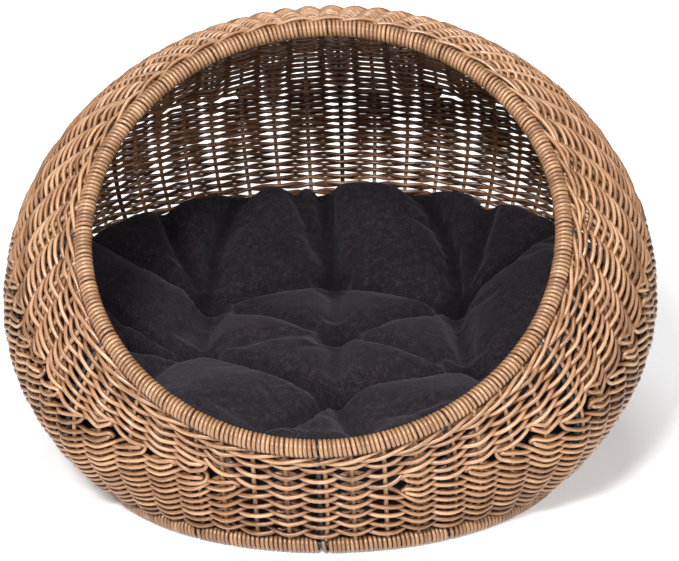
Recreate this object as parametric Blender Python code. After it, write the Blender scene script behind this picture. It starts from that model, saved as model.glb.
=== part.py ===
"""Round wicker pet bed: a low ball-shaped basket woven on a steel frame, with one large
oval mouth that leans back over the front, a coil-wrapped rim, a coil-wrapped foot ring and
a loose tufted cushion inside.

World frame: metres, +Z up, the floor is z = 0, the mouth faces -Y, +X is to the right of a
person who looks into the mouth. The origin is on the floor under the middle of the outline.
"""

import math

import bpy
import bmesh
import numpy as np

# ---------------------------------------------------------------- driving dimensions (m)
FRAME_Y = -0.02946  # puts the origin under the middle of the outline

# foot ring (centre line of the steel rod)
BASE_RX = 0.1835
BASE_RY = 0.1680
BASE_CY = -0.0012 + FRAME_Y
BASE_Z = 0.0070

# mouth ring (centre line of the steel rod): an almost round ring that leans back
MOUTH_CY = -0.0757 + FRAME_Y
MOUTH_CZ = 0.2208
MOUTH_A = 0.1782  # half width along X
MOUTH_B = 0.1797  # half height in the ring's own plane
MOUTH_TILT = math.radians(49.05)  # elevation of the mouth's normal above the floor

# ball-shaped wall, measured on the centre lines of the uprights
BODY_CY = 0.0076 + FRAME_Y
BODY_CZ = 0.1580
BODY_AX = 0.2550
BODY_AY = 0.2646
BODY_UP = 0.2416
BODY_LOW = 0.2182
BEND_LOW = 0.30  # share of an upright that bends in to the foot ring
BEND_TOP = 0.4028  # where the bend in to the mouth ring starts
FRONT_FLAT = 0.95  # the low front runs almost straight from the foot ring to the mouth ring
FRONT_REACH = math.radians(62.0)  # and rounds out again towards this angle on both sides

# wires, rods and strands
ROD_R = 0.0035  # steel rod of both rings
RIB_R = 0.0020  # steel rib
STAKE_R = 0.0017  # resin-rattan upright
STRAND_D = 0.0034  # woven strand
GAP = 0.0003  # air between neighbouring pieces

UPRIGHTS = 48  # places for an upright round the basket
RIB_EVERY = 4  # each fourth place carries a steel rib

WRAP_IN = ROD_R + 0.00045
RIM_WRAP_R = 0.0069
BASE_WRAP_R = 0.0072
SLIT_HALF = 0.0026  # half the slit that lets ribs and stakes reach the rod

WALL_IN = RIB_R + GAP + 0.00005  # inner face of the woven wall, from the uprights' line
WALL_OUT = 0.0052  # outer face of the woven wall
WALL_ROWS = 11

# floor
FLOOR_Z0 = 0.0094
FLOOR_T = 0.0040
BAR_R = 0.0020
BAR_X = (-0.118, -0.040, 0.040, 0.118)

# cushion
CUSHION_CY = 0.0200 + FRAME_Y
CUSHION_Z0 = FLOOR_Z0 + FLOOR_T + 0.0006
CUSHION_LIFT = 0.040  # the travel that the cushion keeps clear for itself
CUSHION_SIDE_GAP = 0.0060  # from the uprights' line: half a strand pair and a little air
CUSHION_TOP_BACK = 0.1500
CUSHION_TOP_FRONT = 0.1065
CUSHION_SECTORS = 48
CUSHION_FREE_R = 0.1900  # radius where nothing of the basket is level with the cushion

# ---------------------------------------------------------------- scene and materials
for old in list(bpy.data.objects):
    bpy.data.objects.remove(old, do_unlink=True)

part = bpy.data.collections.new("wicker_pet_bed")
bpy.context.scene.collection.children.link(part)


def material(name, colour, roughness, metallic=0.0):
    made = bpy.data.materials.new(name)
    made.use_nodes = True
    shader = made.node_tree.nodes["Principled BSDF"]
    shader.inputs["Base Color"].default_value = (*colour, 1.0)
    shader.inputs["Roughness"].default_value = roughness
    shader.inputs["Metallic"].default_value = metallic
    made.diffuse_color = (*colour, 1.0)
    return made


STEEL = material("steel", (0.035, 0.034, 0.036), 0.45, 0.6)
RATTAN = material("rattan", (0.520, 0.320, 0.140), 0.48)
RATTAN_WALL = material("rattan_wall", (0.470, 0.280, 0.115), 0.55)
RATTAN_WRAP = material("rattan_wrap", (0.600, 0.390, 0.180), 0.45)
FLEECE = material("fleece", (0.028, 0.023, 0.029), 0.95)


# ---------------------------------------------------------------- shape of the ball wall
def mouth_frame():
    centre = np.array((0.0, MOUTH_CY, MOUTH_CZ))
    side = np.array((1.0, 0.0, 0.0))
    up = np.array((0.0, math.sin(MOUTH_TILT), math.cos(MOUTH_TILT)))
    return centre, side, up


def base_point(theta):
    theta = np.asarray(theta, float)
    return np.stack(
        [
            BASE_RX * np.sin(theta),
            BASE_CY - BASE_RY * np.cos(theta),
            np.full_like(theta, BASE_Z),
        ],
        -1,
    )


def mouth_point(theta):
    theta = np.asarray(theta, float)
    centre, side, up = mouth_frame()
    return (
        centre
        + MOUTH_A * np.sin(theta)[..., None] * side
        - MOUTH_B * np.cos(theta)[..., None] * up
    )


BODY_C = np.array((0.0, BODY_CY, BODY_CZ))


def on_ball(point):
    d = point - BODY_C
    high = np.where(d[..., 2] > 0, BODY_UP, BODY_LOW)
    v = np.stack([d[..., 0] / BODY_AX, d[..., 1] / BODY_AY, d[..., 2] / high], -1)
    r = np.linalg.norm(v, axis=-1)
    return v / r[..., None], r


def wall(theta, t):
    """A point of the wall's middle surface: theta 0 is the front, t runs from foot to mouth."""
    theta, t = np.broadcast_arrays(np.asarray(theta, float), np.asarray(t, float))
    d0, r0 = on_ball(base_point(theta))
    d1, r1 = on_ball(mouth_point(theta))
    om = np.arccos(np.clip((d0 * d1).sum(-1), -1, 1))
    d = (np.sin((1 - t) * om) / np.sin(om))[..., None] * d0 + (
        np.sin(t * om) / np.sin(om)
    )[..., None] * d1
    r = (
        1
        - (1 - r0) * np.clip(1 - t / BEND_LOW, 0, 1) ** 2
        - (1 - r1) * np.clip((t - BEND_TOP) / (1 - BEND_TOP), 0, 1) ** 2
    )
    straight = r0 * r1 * np.sin(om) / (r0 * np.sin(t * om) + r1 * np.sin((1 - t) * om))
    aside = np.abs((theta + math.pi) % (2 * math.pi) - math.pi) / FRONT_REACH
    r = r + FRONT_FLAT * np.clip(1 - aside**3, 0, 1) ** 1.5 * (straight - r)
    high = np.where(d[..., 2] > 0, BODY_UP, BODY_LOW)
    scale = np.stack([np.full_like(high, BODY_AX), np.full_like(high, BODY_AY), high], -1)
    return BODY_C + d * r[..., None] * scale


def wall_normal(theta, t):
    e = 1e-4
    t = np.clip(t, e, 1 - e)
    a = wall(theta + e, t) - wall(theta - e, t)
    b = wall(theta, t + e) - wall(theta, t - e)
    n = np.cross(a, b)
    n /= np.linalg.norm(n, axis=-1)[..., None]
    out = wall(theta, t) - BODY_C
    return n * np.where((n * out).sum(-1) < 0, -1.0, 1.0)[..., None]


def t_at_lengths(theta, wanted):
    """The t values at the given lengths along one upright; a negative one counts from the mouth."""
    ts = np.linspace(0, 1, 801)
    points = wall(theta, ts)
    run = np.concatenate(
        [[0], np.cumsum(np.linalg.norm(np.diff(points, axis=0), axis=1))]
    )
    wanted = np.asarray(wanted, float)
    return np.interp(np.where(wanted < 0, run[-1] + wanted, wanted), run, ts), run[-1]


def lean(theta, point_of, side):
    """Sine of the angle by which an upright leans along a ring where it meets the ring."""
    e = 1e-4
    along = point_of(np.array(theta + e)) - point_of(np.array(theta - e))
    along /= np.linalg.norm(along)
    near = t_at_lengths(theta, [side * 0.0030, side * 0.0070])[0]
    run = wall(theta, near[1]) - wall(theta, near[0])
    run /= np.linalg.norm(run)
    return abs(float(run @ along))


def row_ts(theta):
    """The shared t values of the wall and of the uprights between the two rings."""
    _, length = t_at_lengths(theta, [0.0])
    low = (BASE_WRAP_R + GAP) / math.sqrt(1 - lean(theta, base_point, 1) ** 2)
    high = (RIM_WRAP_R + GAP) / math.sqrt(1 - lean(theta, mouth_point, -1) ** 2)
    s = np.linspace(low, length - high, WALL_ROWS + 1)
    return t_at_lengths(theta, s)[0]


def end_length(theta, point_of, side, radius):
    """How far from a ring's centre line an upright must stop so that its flat end clears the rod."""
    tilt = lean(theta, point_of, side)
    return (ROD_R + GAP + 0.0003 + radius * tilt) / math.sqrt(1 - tilt**2)


# ---------------------------------------------------------------- builders
def add_mesh(name, points, faces, mat, origin=(0.0, 0.0, 0.0)):
    mesh = bpy.data.meshes.new(name)
    local = np.asarray(points, float) - np.asarray(origin, float)
    mesh.from_pydata(local.tolist(), [], [list(map(int, f)) for f in faces])
    mesh.validate()
    bm = bmesh.new()
    bm.from_mesh(mesh)
    bmesh.ops.recalc_face_normals(bm, faces=bm.faces)
    bm.to_mesh(mesh)
    bm.free()
    mesh.materials.append(mat)
    made = bpy.data.objects.new(name, mesh)
    made.location = origin
    part.objects.link(made)
    return made


def loft_round(name, sections, mat):
    """Closed sections joined round a full circle: a ring-shaped closed solid."""
    n = len(sections)
    m = len(sections[0])
    points = np.concatenate(sections)
    faces = []
    for i in range(n):
        j = (i + 1) % n
        for k in range(m):
            l = (k + 1) % m
            faces.append((i * m + k, j * m + k, j * m + l, i * m + l))
    return add_mesh(name, points, faces, mat)


def wire(name, points, radius, mat, closed=False, resolution=0):
    """A round rod or strand along a line of points, as a bevelled poly curve with capped ends."""
    curve = bpy.data.curves.new(name, "CURVE")
    curve.dimensions = "3D"
    curve.bevel_depth = radius
    curve.bevel_resolution = resolution
    curve.fill_mode = "FULL"
    curve.use_fill_caps = not closed
    spline = curve.splines.new("POLY")
    spline.points.add(len(points) - 1)
    for place, point in zip(spline.points, points):
        place.co = (*map(float, point), 1.0)
    spline.use_cyclic_u = closed
    curve.materials.append(mat)
    made = bpy.data.objects.new(name, curve)
    part.objects.link(made)
    return made


THETAS = np.arange(UPRIGHTS) * 2 * math.pi / UPRIGHTS

# ---------------------------------------------------------------- steel rings
wire("base_ring", base_point(THETAS), ROD_R, STEEL, closed=True, resolution=1)
wire("opening_ring", mouth_point(THETAS), ROD_R, STEEL, closed=True, resolution=1)

# ---------------------------------------------------------------- ribs and stakes
ribs = stakes = 0
for place, theta in enumerate(THETAS):
    steel = place % RIB_EVERY == 0
    radius = RIB_R if steel else STAKE_R
    low = end_length(theta, base_point, 1, radius)
    high = end_length(theta, mouth_point, -1, radius)
    ends, _ = t_at_lengths(theta, [low, -high])
    ts = np.concatenate([[ends[0]], row_ts(theta), [ends[1]]])
    line = wall(theta, ts)
    if steel:
        ribs += 1
        wire(f"rib_{ribs:02d}", line, RIB_R, STEEL, resolution=1)
    else:
        stakes += 1
        wire(f"stake_{stakes:02d}", line, STAKE_R, RATTAN, resolution=0)

# ---------------------------------------------------------------- woven wall
sections = []
for theta in THETAS:
    ts = row_ts(theta)
    mid = wall(theta, ts)
    normal = wall_normal(theta, ts)
    sections.append(
        np.concatenate([mid + normal * WALL_IN, (mid + normal * WALL_OUT)[::-1]])
    )
loft_round("woven_shell", sections, RATTAN_WALL)


# ---------------------------------------------------------------- coil-wrapped rim and foot
def ring_frames(point_of, t_far):
    """Per upright place: ring centre, direction to the wall across the ring, and the third axis."""
    e = 1e-4
    for theta in THETAS:
        centre = point_of(np.array(theta))
        tangent = point_of(np.array(theta + e)) - point_of(np.array(theta - e))
        tangent /= np.linalg.norm(tangent)
        far = wall(theta, t_at_lengths(theta, [t_far])[0][0])
        to_wall = far - centre
        to_wall -= tangent * (to_wall @ tangent)
        to_wall /= np.linalg.norm(to_wall)
        yield centre, to_wall, np.cross(tangent, to_wall), tangent


def slit_angles(r_out):
    return math.asin(SLIT_HALF / r_out), math.asin(SLIT_HALF / WRAP_IN)


sections = []
outer0, inner0 = slit_angles(RIM_WRAP_R)
for centre, a, b, _ in ring_frames(mouth_point, -0.0055):
    outer = np.linspace(outer0, 2 * math.pi - outer0, 11)
    inner = np.linspace(2 * math.pi - inner0, inner0, 8)
    ring = [centre + RIM_WRAP_R * (math.cos(g) * a + math.sin(g) * b) for g in outer]
    ring += [centre + WRAP_IN * (math.cos(g) * a + math.sin(g) * b) for g in inner]
    sections.append(np.array(ring))
loft_round("rim_wrap", sections, RATTAN_WRAP)

sections = []
outer0, inner0 = slit_angles(BASE_WRAP_R)
flat = math.acos(BASE_Z / BASE_WRAP_R)  # the coil is pressed flat where it stands
for centre, a, _, tangent in ring_frames(base_point, 0.0055):
    away = np.array((centre[0], centre[1] - BASE_CY, 0.0))
    away -= tangent * (away @ tangent)
    away /= np.linalg.norm(away)
    up = np.array((0.0, 0.0, 1.0))
    slit = math.atan2(a @ up, a @ away)
    down = 1.5 * math.pi
    outer = np.concatenate(
        [
            np.linspace(slit + outer0, down - flat, 7),
            np.linspace(down + flat, 2 * math.pi + slit - outer0, 5),
        ]
    )
    inner = np.linspace(2 * math.pi + slit - inner0, slit + inner0, 8)
    ring = [centre + BASE_WRAP_R * (math.cos(g) * away + math.sin(g) * up) for g in outer]
    ring[6][2] = ring[7][2] = 0.0
    ring += [centre + WRAP_IN * (math.cos(g) * away + math.sin(g) * up) for g in inner]
    sections.append(np.array(ring))
loft_round("base_wrap", sections, RATTAN_WRAP)

# ---------------------------------------------------------------- floor
floor_rx = BASE_RX - BASE_WRAP_R - 0.0006
floor_ry = BASE_RY - BASE_WRAP_R - 0.0006
bpy.ops.mesh.primitive_cylinder_add(vertices=48, radius=1.0, depth=1.0)
floor = bpy.context.active_object
for holder in list(floor.users_collection):
    holder.objects.unlink(floor)
part.objects.link(floor)
floor.name = floor.data.name = "woven_floor"
for vertex in floor.data.vertices:
    x, y, z = vertex.co
    vertex.co = (
        x * floor_rx,
        BASE_CY + y * floor_ry,
        FLOOR_Z0 + (FLOOR_T if z > 0 else 0.0),
    )
floor.data.materials.append(RATTAN_WALL)

for number, x in enumerate(BAR_X, 1):
    half = (floor_ry) * math.sqrt(1 - (x / floor_rx) ** 2) - 0.0022
    line = [(x, BASE_CY - half, BASE_Z), (x, BASE_CY + half, BASE_Z)]
    wire(f"floor_bar_{number}", line, BAR_R, STEEL, resolution=1)


# ---------------------------------------------------------------- cushion
def clear_points():
    """Points that the cushion must stay inside of: the wall's inner strands and both wraps."""
    th = np.linspace(0, 2 * math.pi, 721)[:-1]
    tt = np.linspace(0.0, 1.0, 161)
    grid_th, grid_t = np.meshgrid(th, tt, indexing="ij")
    inside = wall(grid_th, grid_t) - wall_normal(grid_th, grid_t) * CUSHION_SIDE_GAP
    found = [inside.reshape(-1, 3)]
    for point_of, radius in ((base_point, BASE_WRAP_R), (mouth_point, RIM_WRAP_R)):
        centre = point_of(th)
        tangent = np.roll(centre, -1, 0) - np.roll(centre, 1, 0)
        tangent /= np.linalg.norm(tangent, axis=1)[:, None]
        first = np.cross(tangent, (1.0, 0.3, 0.2))
        first /= np.linalg.norm(first, axis=1)[:, None]
        second = np.cross(tangent, first)
        for g in np.linspace(0, 2 * math.pi, 25)[:-1]:
            found.append(
                centre + (radius + 0.0008) * (math.cos(g) * first + math.sin(g) * second)
            )
    return np.concatenate(found)


def clear_radius(phis, zs):
    """The largest horizontal radius about the cushion's axis that stays clear over the lift."""
    points = clear_points()
    phi_of = np.arctan2(points[:, 1] - CUSHION_CY, points[:, 0])
    r_of = np.hypot(points[:, 0], points[:, 1] - CUSHION_CY)
    z_of = points[:, 2]
    table = np.zeros((len(phis), len(zs)))
    for i, phi in enumerate(phis):
        near = np.abs((phi_of - phi + math.pi) % (2 * math.pi) - math.pi) < math.radians(4)
        for j, z in enumerate(zs):
            level = near & (z_of > z - 0.002) & (z_of < z + CUSHION_LIFT + 0.002)
            table[i, j] = r_of[level].min() if level.any() else CUSHION_FREE_R
    return table


phis = np.arange(CUSHION_SECTORS) * 2 * math.pi / CUSHION_SECTORS
back = 0.5 * (1 + np.sin(phis))  # 0 at the front, 1 at the back
lift = np.clip(back / 0.55, 0, 1)
top = CUSHION_TOP_FRONT + (CUSHION_TOP_BACK - CUSHION_TOP_FRONT) * lift**2 * (3 - 2 * lift)
levels = np.linspace(CUSHION_Z0, CUSHION_TOP_BACK, 28)
free = clear_radius(phis, levels)


def radius_at(z):
    return np.array([np.interp(z[i], levels, free[i]) for i in range(len(phis))])


whole = np.ones(CUSHION_SECTORS)
rings = []
floor_r = radius_at(CUSHION_Z0 * whole)
rings.append((0.55 * floor_r, CUSHION_Z0 * whole))
rings.append((floor_r - 0.006, CUSHION_Z0 * whole))
for share in (0.10, 0.30, 0.55, 0.80):
    z = CUSHION_Z0 + (top - CUSHION_Z0) * share
    rings.append((radius_at(z) - 0.0004, z))
edge = radius_at(top)
rings.append((edge - 0.006, top - 0.006))
rings.append((edge - 0.018, top * whole))
rings.append((edge - 0.040, top - 0.012))
dish = 0.118 * whole
rings.append((dish + 0.45 * (edge - 0.040 - dish), 0.5 * (top - 0.012) + 0.5 * 0.098))
rings.append((dish, 0.098 * whole))
rings.append((0.094 * whole, 0.094 * whole))
rings.append((0.055 * whole, 0.108 * whole))
rings.append((0.020 * whole, 0.101 * whole))

points = [(0.0, CUSHION_CY, CUSHION_Z0)]
for radius, z in rings:
    for i, phi in enumerate(phis):
        points.append(
            (radius[i] * math.cos(phi), CUSHION_CY + radius[i] * math.sin(phi), z[i])
        )
points.append((0.0, CUSHION_CY, 0.098))
faces = []
n = CUSHION_SECTORS
for i in range(n):
    j = (i + 1) % n
    faces.append((0, 1 + j, 1 + i))
    for k in range(len(rings) - 1):
        a = 1 + k * n
        faces.append((a + i, a + j, a + n + j, a + n + i))
    a = 1 + (len(rings) - 1) * n
    faces.append((a + i, a + j, len(points) - 1))
add_mesh("cushion", points, faces, FLEECE, origin=(0.0, CUSHION_CY, CUSHION_Z0))
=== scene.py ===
"""Looks of the round wicker pet bed: paired rattan rows on rattan stakes and steel ribs, coil-wrapped
mouth rim and foot ring, a woven floor and a loose tufted fleece cushion. Metres, the CAD's frame."""

import math

import bmesh
import bpy
import numpy as np
from mathutils import Matrix, Vector


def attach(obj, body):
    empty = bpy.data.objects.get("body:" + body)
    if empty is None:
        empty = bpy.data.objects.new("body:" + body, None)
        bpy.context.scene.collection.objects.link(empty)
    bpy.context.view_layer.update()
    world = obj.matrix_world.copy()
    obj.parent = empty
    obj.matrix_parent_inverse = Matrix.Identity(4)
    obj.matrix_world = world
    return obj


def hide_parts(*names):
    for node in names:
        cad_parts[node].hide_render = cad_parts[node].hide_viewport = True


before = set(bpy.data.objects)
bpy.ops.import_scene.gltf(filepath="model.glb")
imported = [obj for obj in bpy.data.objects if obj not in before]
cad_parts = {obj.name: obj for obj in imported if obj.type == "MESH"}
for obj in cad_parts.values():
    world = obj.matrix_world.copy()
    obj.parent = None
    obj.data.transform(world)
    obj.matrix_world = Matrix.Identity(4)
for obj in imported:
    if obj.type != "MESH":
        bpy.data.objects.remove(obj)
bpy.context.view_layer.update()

RNG = np.random.default_rng(20)

# ------------------------------------------------------------------ the basket's shape (as in the CAD)
FY = -0.02946
BASE_RX, BASE_RY, BASE_CY, BASE_Z = 0.1835, 0.1680, -0.0012 + FY, 0.0070
MOUTH_CY, MOUTH_CZ, MOUTH_A, MOUTH_B = -0.0757 + FY, 0.2208, 0.1782, 0.1797
TILT = math.radians(49.05)
BODY_C = np.array((0.0, 0.0076 + FY, 0.1580))
BODY_AX, BODY_AY, BODY_UP, BODY_LOW = 0.2550, 0.2646, 0.2416, 0.2182
BEND_LOW, BEND_TOP = 0.30, 0.4028
FRONT_FLAT, FRONT_REACH = 0.95, math.radians(62.0)
ROD_R, RIB_R, STAKE_R, STRAND_R = 0.0035, 0.0020, 0.0017, 0.00164
N_STAKES = 48
MOUTH_UP = np.array((0.0, math.sin(TILT), math.cos(TILT)))
MOUTH_C = np.array((0.0, MOUTH_CY, MOUTH_CZ))


def base_point(th):
    th = np.asarray(th, float)
    return np.stack(
        [BASE_RX * np.sin(th), BASE_CY - BASE_RY * np.cos(th), np.full_like(th, BASE_Z)], -1
    )


def mouth_point(th):
    th = np.asarray(th, float)
    return (
        MOUTH_C
        + MOUTH_A * np.sin(th)[..., None] * np.array((1.0, 0, 0))
        - MOUTH_B * np.cos(th)[..., None] * MOUTH_UP
    )


def on_ball(p):
    d = p - BODY_C
    high = np.where(d[..., 2] > 0, BODY_UP, BODY_LOW)
    v = np.stack([d[..., 0] / BODY_AX, d[..., 1] / BODY_AY, d[..., 2] / high], -1)
    r = np.linalg.norm(v, axis=-1)
    return v / r[..., None], r


def wall(th, t):
    th, t = np.broadcast_arrays(np.asarray(th, float), np.asarray(t, float))
    d0, r0 = on_ball(base_point(th))
    d1, r1 = on_ball(mouth_point(th))
    om = np.arccos(np.clip((d0 * d1).sum(-1), -1, 1))
    d = (np.sin((1 - t) * om) / np.sin(om))[..., None] * d0 + (
        np.sin(t * om) / np.sin(om)
    )[..., None] * d1
    r = (
        1
        - (1 - r0) * np.clip(1 - t / BEND_LOW, 0, 1) ** 2
        - (1 - r1) * np.clip((t - BEND_TOP) / (1 - BEND_TOP), 0, 1) ** 2
    )
    straight = r0 * r1 * np.sin(om) / (r0 * np.sin(t * om) + r1 * np.sin((1 - t) * om))
    aside = np.abs((th + math.pi) % (2 * math.pi) - math.pi) / FRONT_REACH
    r = r + FRONT_FLAT * np.clip(1 - aside**3, 0, 1) ** 1.5 * (straight - r)
    high = np.where(d[..., 2] > 0, BODY_UP, BODY_LOW)
    return BODY_C + d * r[..., None] * np.stack(
        [np.full_like(high, BODY_AX), np.full_like(high, BODY_AY), high], -1
    )


def unit(v):
    return v / np.maximum(np.linalg.norm(v, axis=-1, keepdims=True), 1e-12)


# length along each upright, and its inverse, on a table
GRID_TH = np.linspace(0, 2 * math.pi, 361)
GRID_T = np.linspace(0, 1, 401)
_pts = wall(GRID_TH[:, None], GRID_T[None, :])
_run = np.concatenate(
    [
        np.zeros((361, 1)),
        np.cumsum(np.linalg.norm(np.diff(_pts, axis=1), axis=-1), axis=1),
    ],
    axis=1,
)
LENGTH = _run[:, -1]
_levels = np.linspace(0, 1, 401)
INV_T = np.array([np.interp(_levels, row / row[-1], GRID_T) for row in _run])


def length_at(th):
    return np.interp(np.mod(th, 2 * math.pi), GRID_TH, LENGTH)


def t_at(th, s):
    """t on the upright at angle th, s metres from the foot ring."""
    th = np.mod(np.asarray(th, float), 2 * math.pi)
    f = np.clip(s / length_at(th), 0, 1)
    x = th / (2 * math.pi) * 360
    i = np.minimum(x.astype(int), 359)
    a = x - i
    y = f * 400
    j = np.minimum(y.astype(int), 399)
    b = y - j
    return (
        (1 - a) * (1 - b) * INV_T[i, j]
        + a * (1 - b) * INV_T[i + 1, j]
        + (1 - a) * b * INV_T[i, j + 1]
        + a * b * INV_T[i + 1, j + 1]
    )


def skin(th, s):
    """Point, outward normal and up-the-wall direction at angle th and s metres from the foot ring."""
    t = np.clip(t_at(th, s), 2e-4, 1 - 2e-4)
    e = 1e-4
    p = wall(th, t)
    a = wall(th + e, t) - wall(th - e, t)
    b = wall(th, t + e) - wall(th, t - e)
    n = unit(np.cross(a, b))
    n *= np.where((n * (p - BODY_C)).sum(-1) < 0, -1.0, 1.0)[..., None]
    up = unit(b)
    return p, n, up


# ------------------------------------------------------------------ mesh building
def smoothstep(x, low, high):
    x = np.clip((x - low) / (high - low), 0, 1)
    return x * x * (3 - 2 * x)


def tube(points, ref, radius, sides=8, closed=False, sid=None, taper=0, depth=None, flank_shade=0.0):
    """One round strand along points. ref is a direction across the strand at each point; depth is how far the strand's
    middle stands out of the wall there, and sets painted shade that darkens the strand where it lies near the wall's
    middle, in the crevices between strands and stakes; flank paints shade on the sides that touch a neighbour."""
    points = np.asarray(points, float)
    m = len(points)
    if closed:
        tan = np.roll(points, -1, 0) - np.roll(points, 1, 0)
    else:
        tan = np.gradient(points, axis=0)
    tan = unit(tan)
    side = unit(np.cross(tan, ref))
    up = np.cross(side, tan)
    radius = np.broadcast_to(np.asarray(radius, float), (m,)).copy()
    if taper and not closed:
        radius[0] *= taper
        radius[-1] *= taper
    ang = np.arange(sides) * 2 * math.pi / sides
    ring = (
        np.cos(ang)[None, :, None] * up[:, None, :] + np.sin(ang)[None, :, None] * side[:, None, :]
    )
    verts = points[:, None, :] + ring * radius[:, None, None]
    seg = np.linalg.norm(np.diff(points, axis=0), axis=1)
    u = np.concatenate([[0], np.cumsum(seg)])
    strand = np.empty((m, sides, 3))
    strand[..., 0] = u[:, None]
    strand[..., 1] = np.cos(ang)[None, :] * radius[:, None]
    strand[..., 2] = np.sin(ang)[None, :] * radius[:, None]
    painted_shade = np.ones((m, sides))
    # painted shade: darker where the strand's surface lies near the wall's middle, in the crevices between strands and
    # stakes
    if depth is not None:
        out = np.abs(np.asarray(depth, float)[:, None] + np.cos(ang)[None, :] * radius[:, None])
        painted_shade = 0.50 + 0.50 * smoothstep(out, 0.0004, 0.0032)
    # painted shade: darker on the sides that touch a neighbour and on the side that faces inward
    if flank_shade:
        side_dark = 1 - flank_shade * (1 - smoothstep(np.cos(ang), 0.0, 1.0))
        painted_shade = painted_shade * np.where(np.cos(ang) < -0.5, 0.7, 1.0)[None, :] * side_dark[None, :]
    i = np.arange(m if closed else m - 1)[:, None]
    j = (i + 1) % m
    a = np.arange(sides)[None, :]
    b = (a + 1) % sides
    quads = np.stack(
        [i * sides + a, i * sides + b, j * sides + b, j * sides + a], -1
    ).reshape(-1, 4)
    caps = []
    if not closed:
        caps = [list(range(sides))[::-1], [(m - 1) * sides + k for k in range(sides)]]
    if sid is None:
        sid = float(RNG.random())
    return verts.reshape(-1, 3), quads, caps, strand.reshape(-1, 3), sid, painted_shade.reshape(-1)


def join_tubes(name, tubes, material, collection=None):
    """All these strands as one mesh object with smooth faces and the strand attributes."""
    base = 0
    vs, qs, cs, st, ids, painted_shades = [], [], [], [], [], []
    for verts, quads, caps, strand, sid, painted_shade in tubes:
        painted_shades.append(painted_shade)
        vs.append(verts)
        qs.append(quads + base)
        cs += [[base + k for k in cap] for cap in caps]
        st.append(strand)
        ids.append(np.full(len(verts), sid))
        base += len(verts)
    vs = np.concatenate(vs)
    qs = np.concatenate(qs)
    loops = np.concatenate([qs.reshape(-1)] + [np.array(c) for c in cs]).astype(np.int32)
    sizes = np.concatenate([np.full(len(qs), 4), np.array([len(c) for c in cs])]).astype(int)
    starts = np.concatenate([[0], np.cumsum(sizes)[:-1]]).astype(np.int32)
    me = bpy.data.meshes.new(name)
    me.vertices.add(len(vs))
    me.vertices.foreach_set("co", vs.astype(np.float32).reshape(-1))
    me.loops.add(len(loops))
    me.loops.foreach_set("vertex_index", loops)
    me.polygons.add(len(starts))
    me.polygons.foreach_set("loop_start", starts)
    me.polygons.foreach_set("use_smooth", np.ones(len(starts), bool))
    me.update(calc_edges=True)
    at = me.attributes.new("strand", "FLOAT_VECTOR", "POINT")
    at.data.foreach_set("vector", np.concatenate(st).astype(np.float32).reshape(-1))
    at = me.attributes.new("sid", "FLOAT", "POINT")
    at.data.foreach_set("value", np.concatenate(ids).astype(np.float32))
    # painted shade from tube(), kept as a point attribute for the rattan materials
    at = me.attributes.new("painted_shade", "FLOAT", "POINT")
    at.data.foreach_set("value", np.concatenate(painted_shades).astype(np.float32))
    me.materials.append(material)
    ob = bpy.data.objects.new(name, me)
    bpy.context.scene.collection.objects.link(ob)
    return ob


# ------------------------------------------------------------------ materials
def new_material(name):
    m = bpy.data.materials.new(name)
    m.use_nodes = True
    nt = m.node_tree
    return m, nt, nt.nodes["Principled BSDF"]


def node(nt, kind, **values):
    n = nt.nodes.new(kind)
    for key, value in values.items():
        if key in n.inputs:
            n.inputs[key].default_value = value
        else:
            setattr(n, key, value)
    return n


def ramp(nt, stops, interpolation="LINEAR"):
    n = nt.nodes.new("ShaderNodeValToRGB")
    n.color_ramp.interpolation = interpolation
    while len(n.color_ramp.elements) > 1:
        n.color_ramp.elements.remove(n.color_ramp.elements[-1])
    n.color_ramp.elements[0].position = stops[0][0]
    n.color_ramp.elements[0].color = (*stops[0][1], 1)
    for pos, colour in stops[1:]:
        e = n.color_ramp.elements.new(pos)
        e.color = (*colour, 1)
    return n


def math_node(nt, op, a, b=None, clamp=False):
    n = nt.nodes.new("ShaderNodeMath")
    n.operation = op
    n.use_clamp = clamp
    for slot, value in ((0, a), (1, b)):
        if value is None:
            continue
        if isinstance(value, (int, float)):
            n.inputs[slot].default_value = value
        else:
            nt.links.new(value, n.inputs[slot])
    return n.outputs[0]


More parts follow.
